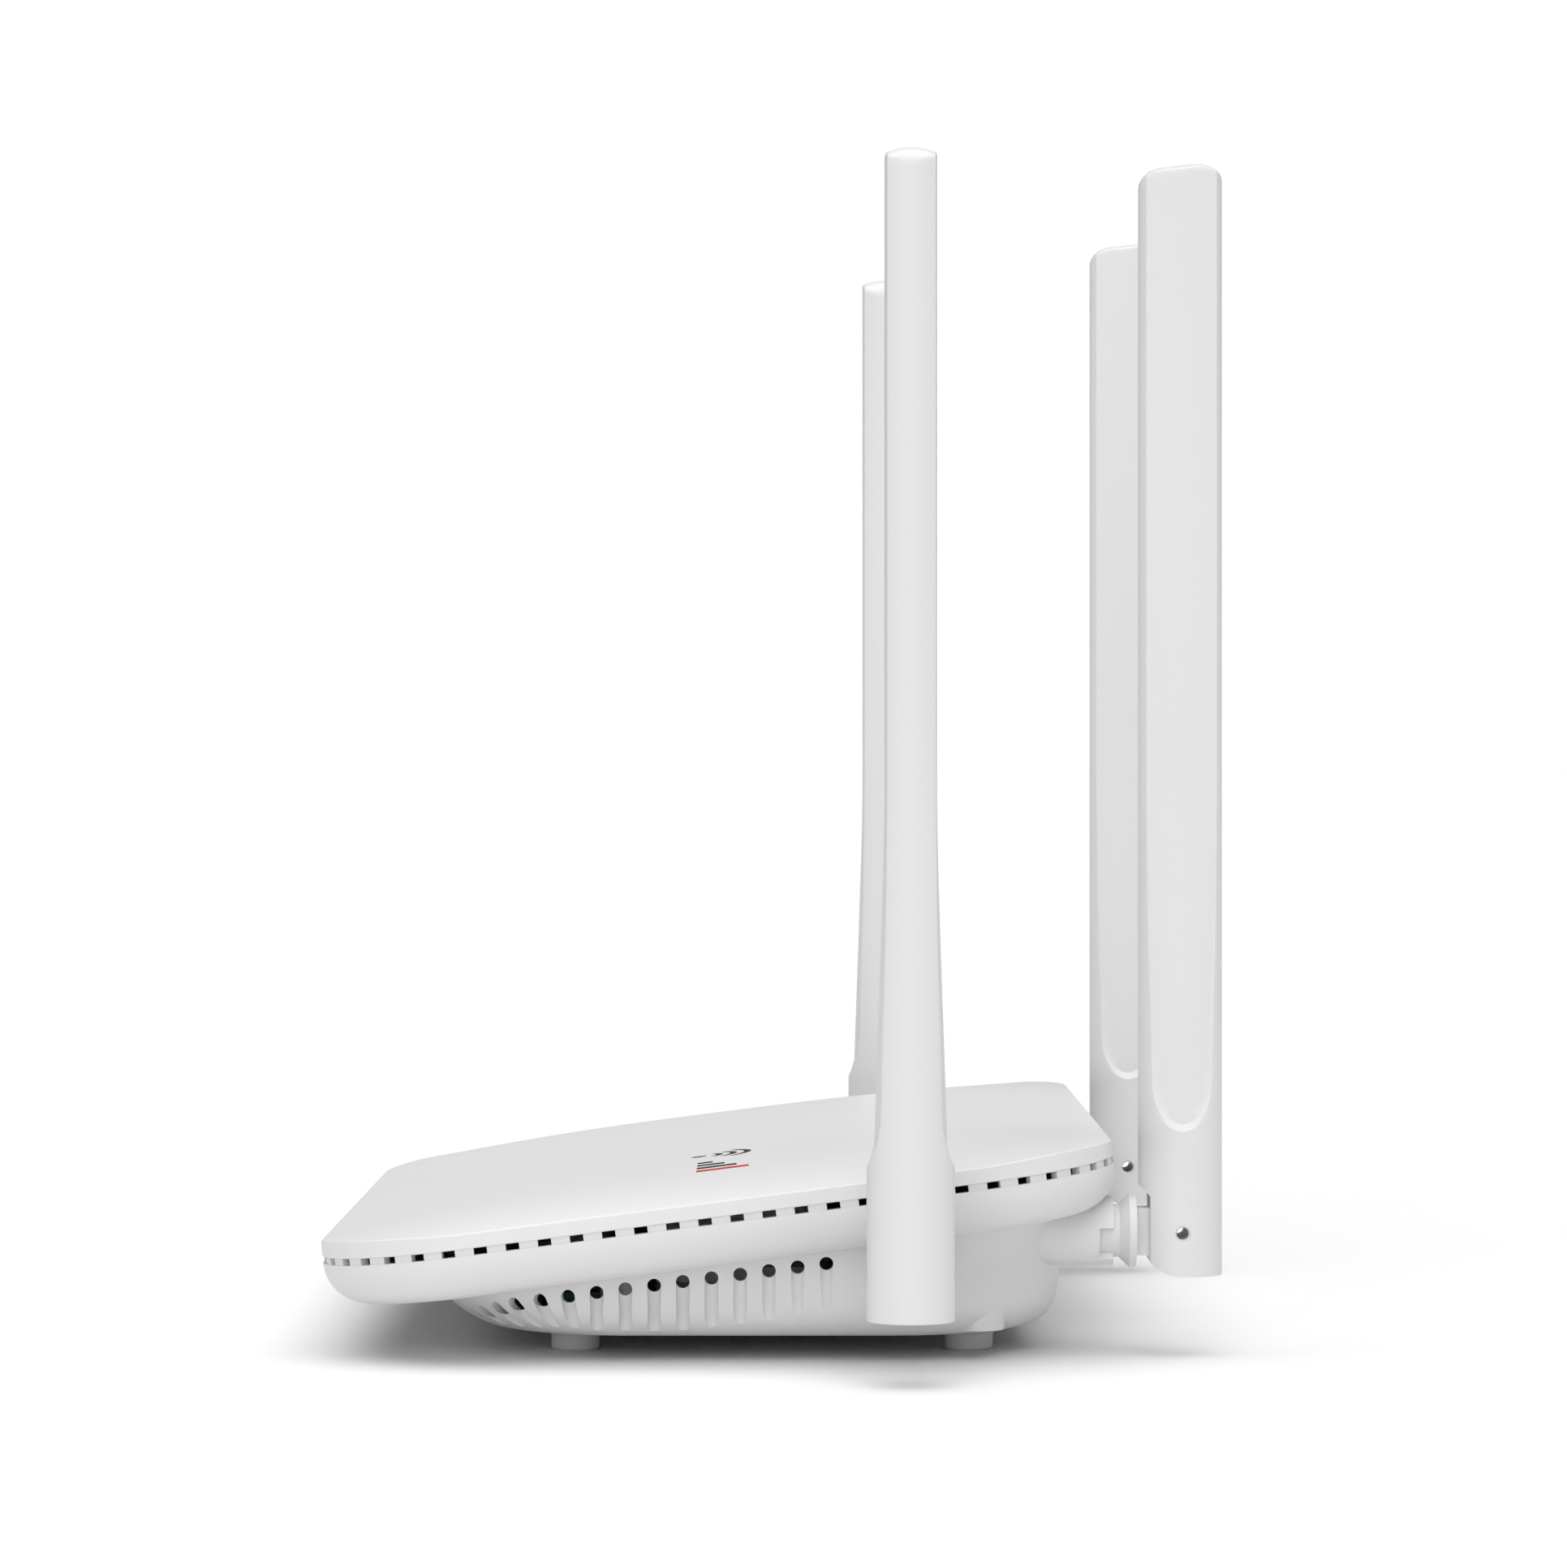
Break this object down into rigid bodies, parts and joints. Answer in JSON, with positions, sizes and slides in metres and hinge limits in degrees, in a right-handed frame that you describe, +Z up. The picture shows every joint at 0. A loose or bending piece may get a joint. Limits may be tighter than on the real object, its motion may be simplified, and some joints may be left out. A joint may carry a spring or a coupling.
{
  "type": "wireless range extender",
  "caption": "Desktop wireless range extender: slim wedge case with a slotted seam and hinged paddle aerials on its back and sides.",
  "frame": {"origin": "on the surface under the feet, at the middle of the whole object's box with the aerials upright", "axes": "+X to the right seen from the front, +Y to the back where the sockets are, +Z up"},
  "size_m": [0.2562, 0.1526, 0.2017],
  "materials": {
    "cover_white": "fine satin moulded plastic",
    "case_white": "fine satin moulded plastic",
    "foot_rubber": "pale soft rubber",
    "aerial_white": "fine satin moulded plastic",
    "knuckle_white": "satin moulded plastic",
    "spring_steel": "bright spring steel",
    "radiator_board": "circuit board with copper tracks",
    "coax_grey": "thin coaxial cable",
    "board_green": "green solder mask",
    "steel_screw": "zinc plated",
    "jack_black": "black moulded plastic",
    "sink_aluminium": "extruded and plain",
    "pad_grey": "soft thermal pad",
    "chip_black": "moulded chip package",
    "can_steel": "tinned steel",
    "capacitor_can": "plain can",
    "guide_clear": "clear moulded plastic",
    "lamp_clear": "clear lamp body",
    "button_white": "satin moulded plastic",
    "switch_black": "switch body"
  },
  "bodies": {
    "case": {"board_lead_rear_left": "coax_grey", "board_lead_rear_right": "coax_grey", "board_lead_side_left": "coax_grey", "board_lead_side_right": "coax_grey", "board_screws": "steel_screw", "bottom_case": "case_white", "capacitors": "capacitor_can", "case_screws": "steel_screw", "dc_jack": "jack_black", "foot_front_left": "foot_rubber", "foot_front_right": "foot_rubber", "foot_rear_left": "foot_rubber", "foot_rear_right": "foot_rubber", "heat_sink": "sink_aluminium", "indicator_lamps": "lamp_clear", "inductors": "chip_black", "lan_jacks": "jack_black", "light_guide": "guide_clear", "line_transformers": "chip_black", "main_board": "board_green", "memory_chips": "chip_black", "processor_chip": "chip_black", "shield_can_high_band": "can_steel", "shield_can_low_band": "can_steel", "tact_switches": "switch_black", "thermal_pad": "pad_grey", "top_cover": "cover_white", "wan_jack": "jack_black"},
    "swivel_rear_right": {"knuckle_rear_right": "knuckle_white", "shaft_clip_rear_right": "spring_steel"},
    "swivel_rear_left": {"knuckle_rear_left": "knuckle_white", "shaft_clip_rear_left": "spring_steel"},
    "swivel_side_right": {"knuckle_side_right": "knuckle_white", "shaft_clip_side_right": "spring_steel"},
    "swivel_side_left": {"knuckle_side_left": "knuckle_white", "shaft_clip_side_left": "spring_steel"},
    "aerial_rear_right": {"aerial_cover_rear_right": "aerial_white", "hinge_pin_rear_right": "knuckle_white", "radiator_rear_right": "radiator_board", "aerial_lead_rear_right": "coax_grey"},
    "aerial_rear_left": {"aerial_cover_rear_left": "aerial_white", "hinge_pin_rear_left": "knuckle_white", "radiator_rear_left": "radiator_board", "aerial_lead_rear_left": "coax_grey"},
    "aerial_side_right": {"aerial_cover_side_right": "aerial_white", "hinge_pin_side_right": "knuckle_white", "radiator_side_right": "radiator_board", "aerial_lead_side_right": "coax_grey"},
    "aerial_side_left": {"aerial_cover_side_left": "aerial_white", "hinge_pin_side_left": "knuckle_white", "radiator_side_left": "radiator_board", "aerial_lead_side_left": "coax_grey"},
    "power_button": {"power_button": "button_white"},
    "pair_button": {"pair_button": "button_white"}
  },
  "joints": [
    {"name": "swivel_rear_right", "type": "hinge", "parent": "case", "child": "swivel_rear_right", "pos_m": [0.0727, 0.0692, 0.02083], "axis": [0, 1, 0], "range_deg": [-40, 90]},
    {"name": "swivel_rear_left", "type": "hinge", "parent": "case", "child": "swivel_rear_left", "pos_m": [-0.0727, 0.0692, 0.02083], "axis": [0, 1, 0], "range_deg": [-90, 40]},
    {"name": "swivel_side_right", "type": "hinge", "parent": "case", "child": "swivel_side_right", "pos_m": [0.121, 0.0224, 0.01797], "axis": [1, 0, 0], "range_deg": [-90, 90]},
    {"name": "swivel_side_left", "type": "hinge", "parent": "case", "child": "swivel_side_left", "pos_m": [-0.121, 0.0224, 0.01797], "axis": [-1, 0, 0], "range_deg": [-90, 90]},
    {"name": "fold_rear_right", "type": "hinge", "parent": "swivel_rear_right", "child": "aerial_rear_right", "pos_m": [0.0727, 0.0692, 0.02083], "axis": [-1, 0, 0], "range_deg": [0, 90]},
    {"name": "fold_rear_left", "type": "hinge", "parent": "swivel_rear_left", "child": "aerial_rear_left", "pos_m": [-0.0727, 0.0692, 0.02083], "axis": [-1, 0, 0], "range_deg": [0, 90]},
    {"name": "fold_side_right", "type": "hinge", "parent": "swivel_side_right", "child": "aerial_side_right", "pos_m": [0.121, 0.0224, 0.01797], "axis": [0, 1, 0], "range_deg": [0, 90]},
    {"name": "fold_side_left", "type": "hinge", "parent": "swivel_side_left", "child": "aerial_side_left", "pos_m": [-0.121, 0.0224, 0.01797], "axis": [0, -1, 0], "range_deg": [0, 90]},
    {"name": "power_button_press", "type": "slide", "parent": "case", "child": "power_button", "axis": [0, -1, 0], "range_m": [0, 0.0008], "stiffness_N_per_m": 600},
    {"name": "pair_button_press", "type": "slide", "parent": "case", "child": "pair_button", "axis": [0, -1, 0], "range_m": [0, 0.0008], "stiffness_N_per_m": 600}
  ]
}
